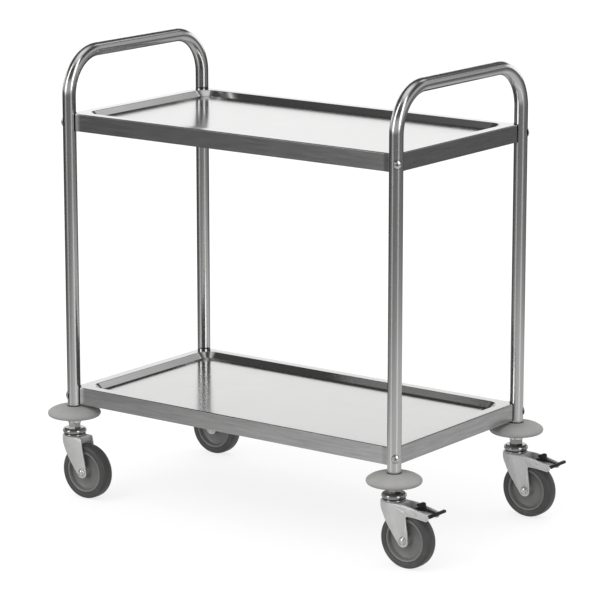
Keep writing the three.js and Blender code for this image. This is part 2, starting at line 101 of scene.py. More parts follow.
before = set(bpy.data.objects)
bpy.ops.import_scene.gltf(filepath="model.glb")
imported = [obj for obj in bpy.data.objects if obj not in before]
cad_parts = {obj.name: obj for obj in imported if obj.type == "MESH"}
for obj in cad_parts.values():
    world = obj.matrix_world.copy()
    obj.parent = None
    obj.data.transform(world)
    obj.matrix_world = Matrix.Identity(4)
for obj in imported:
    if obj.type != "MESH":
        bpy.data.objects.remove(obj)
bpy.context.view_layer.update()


# ---- mesh helpers -----------------------------------------------------------


def mesh_object(name, verts, faces, uvs=None, smooth=CRISP):
    """A smooth-shaded object from points in millimetres; edges sharper than `smooth` stay crisp."""
    mesh = bpy.data.meshes.new(name)
    mesh.from_pydata([Vector(v) * MM for v in verts], [], faces)
    if uvs:
        layer = mesh.uv_layers.new(name="grain")
        for polygon in mesh.polygons:
            for corner, uv in zip(polygon.loop_indices, uvs[polygon.index]):
                layer.data[corner].uv = uv
    finish_mesh(mesh, smooth)
    thing = bpy.data.objects.new(name, mesh)
    bpy.context.scene.collection.objects.link(thing)
    return thing


def finish_mesh(mesh, smooth=CRISP):
    """Turns the faces outwards and shades them smooth, up to that angle."""
    bm = bmesh.new()
    bm.from_mesh(mesh)
    bmesh.ops.recalc_face_normals(bm, faces=bm.faces)
    bm.to_mesh(mesh)
    bm.free()
    for polygon in mesh.polygons:
        polygon.use_smooth = True
    mesh.set_sharp_from_angle(angle=math.radians(smooth))


def place(thing, matrix):
    """Moves the mesh itself, so that the object stays at the origin."""
    thing.data.transform(matrix)
    return thing


def shifted(x=0.0, y=0.0, z=0.0):
    return Matrix.Translation(Vector((x, y, z)) * MM)


def at_corner(corner):
    """Where a corner's post axis meets the floor."""
    side_x, side_y = CORNERS[corner]
    return shifted(SHIFT_X + side_x * POST_X, side_y * POST_Y)


def along_y():
    """Turns a body built along +Z so that it lies along +Y."""
    return Matrix.Rotation(math.radians(-90), 4, "X")


def arc(cx, cy, r, start, stop, steps):
    """Points on a circle from one angle to another, in degrees, with both ends."""
    points = []
    for i in range(steps + 1):
        t = math.radians(start + (stop - start) * i / steps)
        points.append((cx + r * math.cos(t), cy + r * math.sin(t)))
    return points


def rounded(outline, radii, steps=6):
    """The outline with each corner rounded; radii is one number or one for each corner."""
    count = len(outline)
    if not isinstance(radii, (list, tuple)):
        radii = [radii] * count
    points = []
    for i, radius in enumerate(radii):
        here = Vector(outline[i])
        before = Vector(outline[i - 1]) - here
        after = Vector(outline[(i + 1) % count]) - here
        half = before.angle(after) / 2
        if radius <= 0 or half > math.radians(89):
            points.append(tuple(here))
            continue
        reach = min(radius / math.tan(half), before.length * 0.49, after.length * 0.49)
        radius = reach * math.tan(half)
        bisector = (before.normalized() + after.normalized()).normalized()
        centre = here + bisector * (radius / math.sin(half))
        a = here + before.normalized() * reach - centre
        b = here + after.normalized() * reach - centre
        turn = math.atan2(a.x * b.y - a.y * b.x, a.dot(b))
        for k in range(steps + 1):
            t = turn * k / steps
            points.append((
                centre.x + a.x * math.cos(t) - a.y * math.sin(t),
                centre.y + a.x * math.sin(t) + a.y * math.cos(t),
            ))
    return points


def lathe(name, profile, sides=96, ring=False, smooth=CRISP):
    """A body turned about +Z from [radius, height] pairs. A ring's profile closes on itself;
    any other starts and ends on the axis. The UVs run round the body and along the profile."""
    verts, faces, uvs = [], [], []
    rows = []
    along = [0.0]
    for (r0, z0), (r1, z1) in zip(profile, profile[1:] + profile[:1]):
        along.append(along[-1] + math.hypot(r1 - r0, z1 - z0))
    for r, z in profile:
        if r < 1e-6:
            rows.append([len(verts)] * sides)
            verts.append((0, 0, z))
            continue
        rows.append(list(range(len(verts), len(verts) + sides)))
        for k in range(sides):
            t = 2 * math.pi * k / sides
            verts.append((r * math.cos(t), r * math.sin(t), z))
    last = len(profile) if ring else len(profile) - 1
    for i in range(last):
        low, high = rows[i], rows[(i + 1) % len(profile)]
        for k in range(sides):
            j = (k + 1) % sides
            corners = [(low[k], k, 0), (low[j], k + 1, 0), (high[j], k + 1, 1), (high[k], k, 1)]
            kept = []
            for corner in corners:
                if corner[0] not in [c[0] for c in kept]:
                    kept.append(corner)
            if len(kept) > 2:
                faces.append([c[0] for c in kept])
                uvs.append([(c[1] / sides, along[i + c[2]] * MM) for c in kept])
    return mesh_object(name, verts, faces, uvs, smooth)


def rod(r, z0, z1):
    """A cutter for bores."""
    return lathe("rod", [(0, z0), (r, z0), (r, z1), (0, z1)], 32)


def prism(name, outline, z0, z1):
    """An outline in X and Y made into a body from z0 to z1."""
    count = len(outline)
    verts = [(x, y, z0) for x, y in outline] + [(x, y, z1) for x, y in outline]
    faces = [list(range(count)), list(range(count, 2 * count))]
    for i in range(count):
        j = (i + 1) % count
        faces.append([i, j, count + j, count + i])
    return mesh_object(name, verts, faces)


def plate(name, outline, y0, y1):
    """An outline in X and Z made into a body from y0 to y1."""
    body = prism(name, outline, -y1, -y0)
    return place(body, Matrix.Rotation(math.radians(90), 4, "X"))


def block(name, x0, x1, y0, y1, z0, z1):
    return prism(name, [(x0, y0), (x1, y0), (x1, y1), (x0, y1)], z0, z1)


def carve(body, tool, operation="DIFFERENCE"):
    """Applies a boolean to the body's own mesh and removes the tool."""
    modifier = body.modifiers.new("carve", "BOOLEAN")
    modifier.object = tool
    modifier.operation = operation
    modifier.solver = "EXACT"
    bake(body)
    bpy.data.objects.remove(tool)
    return body


def bake(body):
    """Replaces the body's mesh by what its modifiers make of it."""
    bpy.context.view_layer.update()
    graph = bpy.context.evaluated_depsgraph_get()
    mesh = bpy.data.meshes.new_from_object(body.evaluated_get(graph))
    body.modifiers.clear()
    body.data = mesh


def soften(body, width, segments, angle=CRISP):
    """Rounds the body's sharp edges."""
    bevel = body.modifiers.new("soften", "BEVEL")
    bevel.width = width * MM
    bevel.segments = segments
    bevel.limit_method = "ANGLE"
    bevel.angle_limit = math.radians(angle)
    bevel.harden_normals = True
    bevel.miter_outer = "MITER_ARC"
    return body


def join(name, parts):
    """One object from several bodies that stay separate shells."""
    bm = bmesh.new()
    for part in parts:
        bm.from_mesh(part.data)
        bpy.data.objects.remove(part)
    mesh = bpy.data.meshes.new(name)
    bm.to_mesh(mesh)
    bm.free()
    joined = bpy.data.objects.new(name, mesh)
    bpy.context.scene.collection.objects.link(joined)
    return joined


def coat(thing, material):
    thing.data.materials.clear()
    thing.data.materials.append(MATERIALS[material])


def refinish(name, material, edge):
    """Gives a CAD node that stays its material and rounded edges."""
    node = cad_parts[name]
    coat(node, material)
    return soften(node, edge, 2)


def stands_for(piece, node, material, body="frame"):
    """Gives a finished piece its finish, its place in the motion and the CAD node it stands for."""
    piece.name = f"fine_{node}"
    piece.data.name = piece.name
    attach(piece, body)
    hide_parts(node)
    coat(piece, material)
    return piece


# ---- materials --------------------------------------------------------------

# Fineness of the metals' grain: along a tube and round it; along the trolley, across it and up;
# and the same in every direction.
ROUND_GRAIN = (30, 60, 60)
LENGTH_GRAIN = (18, 1500, 1500)
EVEN_GRAIN = 900
GRAIN_STRENGTH = 0.35

MARK_GRAIN = (14, 14, 170)  # scratches lie level on upright faces
MARK_FADE = 0.85  # how far they fade on level faces
CREASE_SHADE = [(0.68, 0.08), (0.97, 1.0)]  # painted shade in creases: what is left of the colour, by how open the spot is
EDGE_REACH = 3.0  # how far in from an edge the metal is rubbed and painted with a highlight
# Rubbed edges with a painted highlight: how much, by how near the rounded normal stays to the true
# one, and their bright colour.
EDGE_WEAR_AND_HIGHLIGHT = [(0.86, 1.0), (0.985, 0.0)]
WORN_AND_LIT_METAL = 0.95

DUST = [(0.5, 0.0), (0.75, 1.0)]
DUST_GREY = 0.42
RUBBED = [(0.53, 0.0), (0.60, 1.0)]
MOTTLE_FINENESS = 45
DUST_FINENESS = 14
SKIN_FINENESS = 1400
SKIN_DEPTH = 0.03
GLOSS_SPREAD = 0.16


class Graph:
    """Builds a node tree with few words."""

    def __init__(self, owner):
        owner.use_nodes = True
        self.tree = owner.node_tree
        self.tree.nodes.clear()

    def add(self, kind, inputs=None, **settings):
        """Adds a node. Inputs are sockets to link or plain values; the first output is returned."""
        node = self.tree.nodes.new("ShaderNode" + kind)
        for key, value in settings.items():
            setattr(node, key, value)
        for key, value in (inputs or {}).items():
            socket = node.inputs[key]
            if isinstance(value, bpy.types.NodeSocket):
                self.tree.links.new(value, socket)
            else:
                socket.default_value = value
        return node.outputs[0]

    def math(self, operation, *values, clamp=False):
        return self.add("Math", dict(enumerate(values)), operation=operation, use_clamp=clamp)

    def ramp(self, value, stops):
        """A colour ramp through (position, brightness) stops."""
        out = self.add("ValToRGB", {"Fac": value})
        elements = out.node.color_ramp.elements
        while len(elements) < len(stops):
            elements.new(0.5)
        for element, (position, level) in zip(elements, stops):
            element.position = position
            element.color = (level, level, level, 1)
        return out

    def noise(self, vector, scale, detail, roughness=0.55):
        wanted = {"Vector": vector, "Scale": scale, "Detail": detail, "Roughness": roughness}
        return self.add("TexNoise", wanted)

    def stretched(self, vector, scales):
        return self.add("Mapping", {"Vector": vector, "Scale": scales})

    def normal(self):
        return self.add("NewGeometry").node.outputs["Normal"]

    def blend(self, factor, a, b, mode="MIX"):
        """Mixes two colours; 6, 7 and 2 are a Mix node's colour sockets."""
        inputs = {0: factor, 6: a, 7: b}
        out = self.add("Mix", inputs, data_type="RGBA", blend_type=mode)
        return out.node.outputs[2]

    def bump(self, height, distance, strength, normal=None):
        """A bump this many millimetres deep, on top of another if there is one."""
        inputs = {"Height": height, "Distance": distance * MM, "Strength": strength}
        if normal:
            inputs["Normal"] = normal
        return self.add("Bump", inputs)

    def surface(self, shader):
        out = self.tree.nodes.new("ShaderNodeOutputMaterial")
        self.tree.links.new(shader, out.inputs["Surface"])


def grey(value, warmth=0.0):
    return (value * (1 + warmth), value, value * (1 - warmth), 1)


def object_point(g):
    return g.add("TexCoord").node.outputs["Object"]


def lengthwise_point(g):
    """The share of a turn and the length along a swept or turned body, from its UVs."""
    uv = g.add("TexCoord").node.outputs["UV"]
    split = g.add("SeparateXYZ", {0: uv}).node
    return split.outputs["X"], split.outputs["Y"]


def band(g, value, low, high, soft):
    """1 where the value lies between low and high, falling to 0 over `soft` on either side."""
    parts = []
    for edge, sign in ((low, 1), (high, -1)):
        past = g.math("MULTIPLY", g.math("SUBTRACT", value, edge), sign / soft)
        parts.append(g.math("ADD", past, 0.5, clamp=True))
    return g.math("MULTIPLY", parts[0], parts[1])


def metal_grain(g, point, grain):
    """The point to texture by, and fine grain round a tube, along the trolley or even."""
    if grain == "round":
        turn, along = lengthwise_point(g)
        angle = g.math("MULTIPLY", turn, 2 * math.pi)
        point = g.add("CombineXYZ", {
            0: along, 1: g.math("COSINE", angle), 2: g.math("SINE", angle),
        })
        return point, g.noise(g.stretched(point, ROUND_GRAIN), 2.0, 3.0)
    if grain == "length":
        return point, g.noise(g.stretched(point, LENGTH_GRAIN), 1.0, 3.0)
    return point, g.noise(point, EVEN_GRAIN, 3.0)


def with_marks(g, tint, point, depth):
    """Fine level scratches, fading out on level faces."""
    marks = g.noise(g.stretched(point, MARK_GRAIN), 1.0, 5.0, 0.62)
    dimmer = g.ramp(marks, [(0.3, 1 - depth), (0.7, 1.0)])
    facing = g.add("SeparateXYZ", {0: g.normal()}).node
    level = g.math("ABSOLUTE", facing.outputs["Z"])
    upright = g.math("MULTIPLY_ADD", level, -MARK_FADE, 1.0)
    return g.blend(upright, tint, dimmer, "MULTIPLY")


def with_crease_shade(g, tint, reach):
    """Painted shade in the corners where another piece meets this one, darker where ambient
    occlusion finds the spot closed in.
    """
    openness = g.add("AmbientOcclusion", {"Distance": reach * MM}, samples=8)
    return g.blend(1.0, tint, g.ramp(openness, CREASE_SHADE), "MULTIPLY")


def with_wear_and_highlight(g, tint, amount):
    """Edges rubbed bright, with a painted highlight along them, found where a rounded normal leaves
    the true one.
    """
    rounded_off = g.add("Bevel", {"Radius": EDGE_REACH * MM}, samples=6)
    dot = g.add("VectorMath", {0: rounded_off, 1: g.normal()}, operation="DOT_PRODUCT")
    worn = g.ramp(dot.node.outputs["Value"], EDGE_WEAR_AND_HIGHLIGHT)
    return g.blend(g.math("MULTIPLY", worn, amount), tint, grey(WORN_AND_LIT_METAL))


def metal_material(name, base, roughness, grain=None, **more):
    """Bare or plated metal, whose colour and gloss vary with grain and clouding. Options add
    waves, scratches, painted shade in the corners and rubbed edges with a painted highlight along
    them."""
    material = bpy.data.materials.new(name)
    g = Graph(material)
    point, fine = metal_grain(g, object_point(g), grain)
    cloud = g.noise(point, more.get("cloud_scale", 9.0), 4.0)
    tint = g.blend(
        g.ramp(cloud, [(0.35, 0.0), (0.65, 1.0)]),
        grey(base * more.get("dim", 0.94), 0.006),
        grey(base, 0.004),
    )
    grain_gloss = more.get("grain_gloss", 0.06)
    streak = g.math("MULTIPLY_ADD", fine, grain_gloss, roughness - grain_gloss / 2)
    smudge = g.math("MULTIPLY", g.math("SUBTRACT", cloud, 0.5), more.get("smudge", 0.08))
    rough = g.math("ADD", streak, smudge, clamp=True)
    normal = g.bump(fine, more.get("grain_depth", 0.01), GRAIN_STRENGTH)
    if "waviness" in more:
        wave = g.noise(point, more["wave_scale"], 1.0)
        normal = g.bump(wave, more["waviness"], 1.0, normal)
    if "marks" in more:
        tint = with_marks(g, tint, point, more["marks"])
    # Painted shade where other pieces meet this one.
    if "crease" in more:
        tint = with_crease_shade(g, tint, more["crease"])
    # Rubbed edges with a painted highlight along them.
    if "wear" in more:
        tint = with_wear_and_highlight(g, tint, more["wear"])
    g.surface(g.add("BsdfPrincipled", {
        "Base Color": tint, "Metallic": more.get("metallic", 1.0), "Roughness": rough,
        "Normal": normal,
    }))
    return material


def moulded_material(name, base, roughness, dust, wear, specular=0.4):
    """Rubber or plastic: mottled colour, a fine moulded skin, dust in patches and worn edges."""
    material = bpy.data.materials.new(name)
    g = Graph(material)
    point = object_point(g)
    mottle = g.noise(point, MOTTLE_FINENESS, 5.0)
    dusty = g.ramp(g.noise(point, DUST_FINENESS, 6.0, 0.65), DUST)
    tint = g.blend(mottle, grey(base * 0.88, 0.012), grey(base * 1.1, 0.012))
    tint = g.blend(g.math("MULTIPLY", dusty, dust), tint, grey(DUST_GREY, 0.03))
    edges = g.add("NewGeometry").node.outputs["Pointiness"]
    worn = g.ramp(edges, RUBBED)
    tint = g.blend(g.math("MULTIPLY", worn, wear), tint, grey(base * 2.2, 0.01))
    rough = g.math("MULTIPLY_ADD", mottle, GLOSS_SPREAD, roughness - GLOSS_SPREAD / 2)
    skin = g.noise(point, SKIN_FINENESS, 2.0)
    normal = g.bump(skin, SKIN_DEPTH, 0.5)
    g.surface(g.add("BsdfPrincipled", {
        "Base Color": tint, "Roughness": rough, "Normal": normal, "Specular IOR Level": specular,
    }))
    return material


# Brightness and roughness come first; depths and reaches are in millimetres.
MATERIALS = {
    "tube": metal_material(
        "polished_tube", 0.76, 0.19, "round", grain_gloss=0.05, smudge=0.05, cloud_scale=5.0,
        # the crease is painted shade where other pieces meet the tube
        crease=3.5,
    ),
    "shelf": metal_material(
        "satin_sheet", 0.64, 0.15, "length", grain_gloss=0.08, smudge=0.03,
        cloud_scale=4.0, dim=0.97, waviness=0.08, wave_scale=2.5, marks=0.22,
    ),
    "bolt": metal_material("bright_bolt", 0.78, 0.16, smudge=0.1, cloud_scale=300.0),
    # The screw's crease is painted shade round its head.
    "screw": metal_material(
        "zinc_screw", 0.82, 0.2, smudge=0.1, cloud_scale=300.0, crease=2.0,
    ),
    "chrome": metal_material("plated_chrome", 0.43, 0.12, smudge=0.05, cloud_scale=60.0),
    # The zinc's wear is rubbed edges with a painted highlight along them.
    "zinc": metal_material(
        "zinc_plate", 0.67, 0.40, smudge=0.12, cloud_scale=40.0, dim=0.93, grain_depth=0.02,
        metallic=0.55, wear=0.8,
    ),
    "bumper": moulded_material("bumper_rubber", 0.34, 0.72, dust=0.1, wear=0.0),
    "core": moulded_material("wheel_core", 0.17, 0.3, dust=0.12, wear=0.05),
    "tyre": moulded_material("wheel_tyre", 0.058, 0.36, dust=0.12, wear=0.0),
    "black": moulded_material(
        "black_moulding", 0.010, 0.42, dust=0.02, wear=0.1, specular=0.25,
    ),
}

# ---- end frames -------------------------------------------------------------

TUBE_SIDES = 64
BEND_STEPS = 32
STRAIGHT_STEP = 60


def handle_stations():
    """Points and headings in the plane of an end frame, from one post's foot to the other's."""
    bend_y = POST_Y - HANDLE_BEND_R
    bend_z = HANDLE_Z - HANDLE_BEND_R
    straight = max(1, round((bend_z - TUBE_END_Z) / STRAIGHT_STEP))
    stations = []
    for i in range(straight):
        stations.append((-POST_Y, TUBE_END_Z + (bend_z - TUBE_END_Z) * i / straight, 0, 1))
    for side in (-1, 1):
        for i in range(BEND_STEPS + 1):
            turn = math.pi / 2 * i / BEND_STEPS
            angle = math.pi - turn if side < 0 else math.pi / 2 - turn
            stations.append((
                side * bend_y + HANDLE_BEND_R * math.cos(angle),
                bend_z + HANDLE_BEND_R * math.sin(angle),
                math.sin(angle),
                -math.cos(angle),
            ))
    for i in range(1, straight + 1):
        stations.append((POST_Y, bend_z - (bend_z - TUBE_END_Z) * i / straight, 0, -1))
    return stations


def end_frame(side):
    """A bent tube with its bore; the UVs give the share of a turn and the length along."""
    stations = handle_stations()
    x = SHIFT_X + side * POST_X
    verts, faces, uvs = [], [], []
    lengths = [0.0]
    for (y0, z0, *_), (y1, z1, *_) in zip(stations, stations[1:]):
        lengths.append(lengths[-1] + math.hypot(y1 - y0, z1 - z0))
    rows = []
    for radius in (TUBE_R, TUBE_R - TUBE_WALL):
        skin = []
        for y, z, dy, dz in stations:
            skin.append(len(verts))
            for k in range(TUBE_SIDES):
                t = 2 * math.pi * k / TUBE_SIDES
                out = radius * math.sin(t)
                verts.append((x + radius * math.cos(t), y - dz * out, z + dy * out))
        rows.append(skin)
    for skin in rows:
        for i in range(len(stations) - 1):
            low, high = lengths[i] * MM, lengths[i + 1] * MM
            for k in range(TUBE_SIDES):
                j = (k + 1) % TUBE_SIDES
                begin, end = k / TUBE_SIDES, (k + 1) / TUBE_SIDES
                faces.append([skin[i] + k, skin[i] + j, skin[i + 1] + j, skin[i + 1] + k])
                uvs.append([(begin, low), (end, low), (end, high), (begin, high)])
    for i in (0, len(stations) - 1):
        for k in range(TUBE_SIDES):
            j = (k + 1) % TUBE_SIDES
            faces.append([rows[0][i] + k, rows[0][i] + j, rows[1][i] + j, rows[1][i] + k])
            uvs.append([(t / TUBE_SIDES, 0) for t in (k, j, j, k)])
    name = "end_frame_left" if side < 0 else "end_frame_right"
    return stands_for(mesh_object(name, verts, faces, uvs), name, "tube")


for side in (-1, 1):
    end_frame(side)

# ---- shelves ----------------------------------------------------------------

EDGE_R = 2.4  # where the rim turns down into the apron
MOUTH_R = 2.5  # where the rim turns down into the tray
FOOT_R = 1.1  # where the tray's wall meets its floor
FOLD_R = 2.6  # where the apron turns in round a post
FLARE_W = 14.0  # length of the apron's outward flare beside a post
FLARE_H = 1.0
CORNER_POINTS = 6, 6, 10  # along a flare, round a fold, round the saddle
WELD_NUT_R = 5.5
WELD_NUT_H = 5

SCREW_TAIL = 7  # how far the screw goes on past the apron
HEAD_RIM_H = 1.1
HEAD_SPHERE_DROP = 14.0  # how far below its rim a screw head's dome has its centre
SLOT_W = 1.6
SLOT_END = 4.2  # from the end of the cross recess to the head's rim
SLOT_TURN = 20


def notch_outline():
    """The shelf's outline in the +X +Y quarter's corner, from the +X side to the +Y side."""
    flare, fold, saddle = CORNER_POINTS
    start = SADDLE_R + FOLD_R
    side = []
    for i in range(flare):
        t = i / flare
        side.append((POST_X + FLARE_H * t * t, POST_Y - start - FLARE_W * (1 - t)))
    side += arc(POST_X + FLARE_H - FOLD_R, POST_Y - start, FOLD_R, 0, 90, fold)
    low = math.degrees(math.asin((FLARE_H - FOLD_R) / SADDLE_R))
    around = arc(POST_X, POST_Y, SADDLE_R, 270 + low, 180 - low, saddle)[1:-1]
    mirror = [(POST_X + (y - POST_Y), POST_Y + (x - POST_X)) for x, y in reversed(side)]
    return side + around + mirror


def full_outline(quarter):
    """Mirrors a corner from the +X side to the +Y side into all four, counter-clockwise."""
    points = list(quarter)
    points += [(-x, y) for x, y in reversed(quarter)]
    points += [(-x, -y) for x, y in quarter]
    points += [(x, -y) for x, y in reversed(quarter)]
    return points


def inset_outline(outline, inset):
    """Moves each point of a closed counter-clockwise outline inwards."""
    count = len(outline)
    moved = []
    for i, (x, y) in enumerate(outline):
        before = Vector(outline[i - 1])
        after = Vector(outline[(i + 1) % count])
        here = Vector((x, y))
        a = (here - before).normalized()
        b = (after - here).normalized()
        heading = (a + b).normalized()
        stretch = 1 / max(0.5, heading.dot(a))
        moved.append((x - heading.y * inset * stretch, y + heading.x * inset * stretch))
    return moved


def tray_outline(inset, count):
    """Rounded rectangle this far inside the apron, with `count` points round each corner."""
    r = TRAY_CORNER_R + RIM_W - inset
    quarter = arc(POST_X - inset - r, POST_Y - inset - r, r, 0, 90, count - 1)
    return full_outline(quarter)


def shelf_profile():
    """The pressed sheet's upper skin from the apron's foot to the tray's floor, as
    (inset, height, normal's inset part, normal's height part)."""
    slope = math.degrees(math.atan2(TRAY_DEPTH, TRAY_WALL_RUN))
    rows = [(0, -APRON_H, -1, 0), (0, -APRON_H + 1, -1, 0)]
    rows += bend_rows(EDGE_R, -EDGE_R, EDGE_R, 180, 90, 5)
    tangent = math.tan(math.radians(slope / 2))
    mouth = RIM_W - MOUTH_R * tangent
    rows += [(mouth - 1, 0, 0, 1)]
    rows += bend_rows(mouth, -MOUTH_R, MOUTH_R, 90, 90 - slope, 5)
    foot = RIM_W + TRAY_WALL_RUN + FOOT_R * tangent
    hollow = bend_rows(foot, FOOT_R - TRAY_DEPTH, FOOT_R, 270 - slope, 270, 6)
    rows += [(d, z, -a, -b) for d, z, a, b in hollow]
    rows += [(foot + 1.5, -TRAY_DEPTH, 0, 1)]
    return rows


def bend_rows(cx, cz, r, start, stop, steps):
    """Rows of the profile round a bend, with the normals that point away from its centre."""
    rows = []
    for i in range(steps + 1):
        t = math.radians(start + (stop - start) * i / steps)
        rows.append((cx + r * math.cos(t), cz + r * math.sin(t), math.cos(t), math.sin(t)))
    return rows


def shelf(level):
    """The pressed sheet with both its skins, and the nuts welded inside its corners."""
    top = SHELF_TOPS[level]
    corner = notch_outline()
    notched = full_outline(corner)
    count = len(corner)
    profile = shelf_profile()
    under = [(d - SHEET * a, z - SHEET * b) for d, z, a, b in reversed(profile)]
    loops = []
    for d, z in [(row[0], row[1]) for row in profile] + under:
        if d < RIM_W / 2:
            outline = inset_outline(notched, d)
        else:
            outline = tray_outline(d, count)
        loops.append([(x + SHIFT_X, y, top + z) for x, y in outline])
    size = len(notched)
    verts = [point for loop in loops for point in loop]
    faces = []
    half = len(profile)
    for i in range(len(loops)):
        if i == half - 1:
            continue
        following = (i + 1) % len(loops)
        for k in range(size):
            j = (k + 1) % size
            faces.append([i * size + k, i * size + j, following * size + j, following * size + k])
    faces.append([(half - 1) * size + k for k in range(size)])
    faces.append([half * size + k for k in range(size)])
    pressed = mesh_object(f"{level}_shelf", verts, faces, None, 40)
    parts = [pressed] + [weld_nut(name, top) for name in CORNERS]
    whole = join(f"{level}_shelf", parts)
    finish_mesh(whole.data, 40)
    whole.modifiers.new("weigh", "WEIGHTED_NORMAL").keep_sharp = True
    return stands_for(whole, f"{level}_shelf", "shelf")


def outward(corner):
    """Turns a body built along +Z onto a corner's bolt line, heading out of the trolley."""
    side_x, side_y = CORNERS[corner]
    heading = math.atan2(side_y, side_x)
    return Matrix.Rotation(heading, 4, "Z") @ Matrix.Rotation(math.radians(90), 4, "Y")


def on_bolt_line(corner, top):
    return at_corner(corner) @ shifted(z=top - APRON_H / 2) @ outward(corner)


def weld_nut(corner, top):
    start = SADDLE_R + SHEET
    hexagon = arc(0, 0, WELD_NUT_R, 0, 300, 5)
    nut = prism("nut", rounded(hexagon, 0.6, 2), -start - WELD_NUT_H, -start + SHEET / 2)
    return place(nut, on_bolt_line(corner, top))


def shelf_bolt(corner, level):
    """A screw with a low domed head and a cross recess."""
    seat = TUBE_R
    tip = -(SADDLE_R + SHEET + SCREW_TAIL)
    shank = [(0, tip), (BOLT_R - 0.6, tip), (BOLT_R, tip + 0.6), (BOLT_R, seat)]
    rim = [(BOLT_HEAD_R, seat), (BOLT_HEAD_R, seat + HEAD_RIM_H)]
    sphere = math.hypot(BOLT_HEAD_R, HEAD_SPHERE_DROP)
    edge = math.degrees(math.asin(BOLT_HEAD_R / sphere))
    centre = seat + HEAD_RIM_H - HEAD_SPHERE_DROP
    dome = arc(0, centre, sphere, 90 - edge, 90, 10)[1:-1]
    crown = (0, centre + sphere)
    body = lathe("bolt", shank + rim + dome + [crown], 48)
    reach = BOLT_HEAD_R - SLOT_END
    for turn in (SLOT_TURN, 90 + SLOT_TURN):
        slot = block("slot", -reach, reach, -SLOT_W / 2, SLOT_W / 2, seat + 1, seat + 6)
        carve(body, place(slot, Matrix.Rotation(math.radians(turn), 4, "Z")))
    finish_mesh(body.data, 30)
    place(body, on_bolt_line(corner, SHELF_TOPS[level]))
    return stands_for(body, f"{level}_bolt_{corner}", "screw")


for level in SHELF_TOPS:
    shelf(level)
    refinish(f"{level}_stiffener", "shelf", 0.5)
    for corner in CORNERS:
        shelf_bolt(corner, level)

# ---- bumpers and caster heads -------------------------------------------------

RACE_LOW_Z, RACE_TOP_Z = 147, 159.5
RACE_BULGE_R = 6.6
COLLAR_R = 15
COLLAR_TURN = 12.0
STEM_TOP_Z = 214


def bumper(corner):
    """A rubber disc with a nearly flat underside, a rounded rim and a domed top."""
    bore = TUBE_R + GAP
    low = [
        (bore, -BUMPER_DROP + 1.2), (bore + 0.6, -BUMPER_DROP + 0.3), (bore + 1.6, -BUMPER_DROP),
        (BUMPER_R - 16, 0.2 - BUMPER_DROP), (BUMPER_R - 11, 0.7 - BUMPER_DROP),
    ]
    edge = arc(BUMPER_R - 6.8, -0.2, 6.8, -72, 56, 14)
    top = [
        (BUMPER_R - 6.2, 7.7), (BUMPER_R - 10, 9.9), (BUMPER_R - 15, 11.9), (BUMPER_R - 22, 13.7),
        (BUMPER_R - 31, 15.2), (bore + 8, 16.1), (bore + 2, BUMPER_RISE),
        (bore + 0.6, BUMPER_RISE - 0.3), (bore, BUMPER_RISE - 1.2),
    ]
    body = lathe("bumper", low + edge + top, 128, ring=True)
    z = SLIPPED_BUMPER_Z if corner == "front_right" else BUMPER_Z
    place(body, at_corner(corner) @ shifted(z=z))
    return stands_for(body, f"bumper_{corner}", "bumper")


def caster_head(corner):
    """Stem with a hexagonal collar, bulging upper race and riveted king pin."""
    rivet = CROWN_Z - CROWN_T - GAP
    foot = [
        (0, rivet - 5), (6, rivet - 5), (8.4, rivet - 4.2), (9.6, rivet - 2.4), (10, rivet),
        (6, rivet), (6, RACE_LOW_Z),
    ]
    race = [(RACE_R - 4.2, RACE_LOW_Z), (RACE_R - 3.4, RACE_LOW_Z + 0.3)]
    race += arc(RACE_R - RACE_BULGE_R, RACE_LOW_Z + 6, RACE_BULGE_R, -50, 88, 16)
    race += [(15.4, RACE_TOP_Z - 0.2), (14.2, RACE_TOP_Z)]
    stem = [(9, RACE_TOP_Z + 1), (9, STEM_TOP_Z - 1), (8, STEM_TOP_Z), (0, STEM_TOP_Z)]
    body = lathe("head", foot + race + stem, 96, smooth=40)
    collar = hexagon_body(COLLAR_R, RACE_TOP_Z - 1, TUBE_END_Z - GAP, 1.4)
    place(collar, Matrix.Rotation(math.radians(COLLAR_TURN), 4, "Z"))
    carve(body, collar, "UNION")
    finish_mesh(body.data, 36)
    place(body, at_corner(corner))
    return stands_for(body, f"caster_head_{corner}", "chrome")


# ---- forks --------------------------------------------------------------------

SHELL_TOP_R = 3.5
LIP_X = (26.5, 29)
LIP_LOW_Z = 128
DENT_R = 2.6
DENT_X = 38
DENT_Z = 130.5


def fork_outline(brake):
    """The fork seen from the side, with its hub end round the axle."""
    front = [(-34, 150), (-31, 133), (-23.5, 124), (-16.5, 116), (-7.5, 101), (14, 71)]
    hub = arc(TRAIL, WHEEL_R, 13, 208, 342, 10)
    if brake:
        rear = [
            (48.5, 80), (45.8, 97), (43.4, 118.6), (68, 118.2), (96, 115), (102.5, 119.5),
            (99.5, 129), (57, 138.6), (31, 142.8), (26, 150),
        ]
        radii = [3, 12, 5, 12, 4, 5, 4, 10, 12, 0]
    else:
        rear = [(46.5, 80), (41, 106), (37.5, 124), (34, 142), (24, 142.2), (22, 150)]
        radii = [3, 12, 12, 9, 0, 0]
    outline = front + hub + rear
    return rounded(outline, [0, 25, 60, 80, 120, 8] + [0] * len(hub) + radii, 6)


def shell_outline(inset):
    """The fork's shell seen from above: half an ellipse in front, parallel sides behind."""
    half = LEG_OUT - inset
    front = [(x * (FRONT_X - inset), y * half) for x, y in arc(0, 0, 1, 90, 270, 40)]
    return front + [(120, -half), (120, half)]


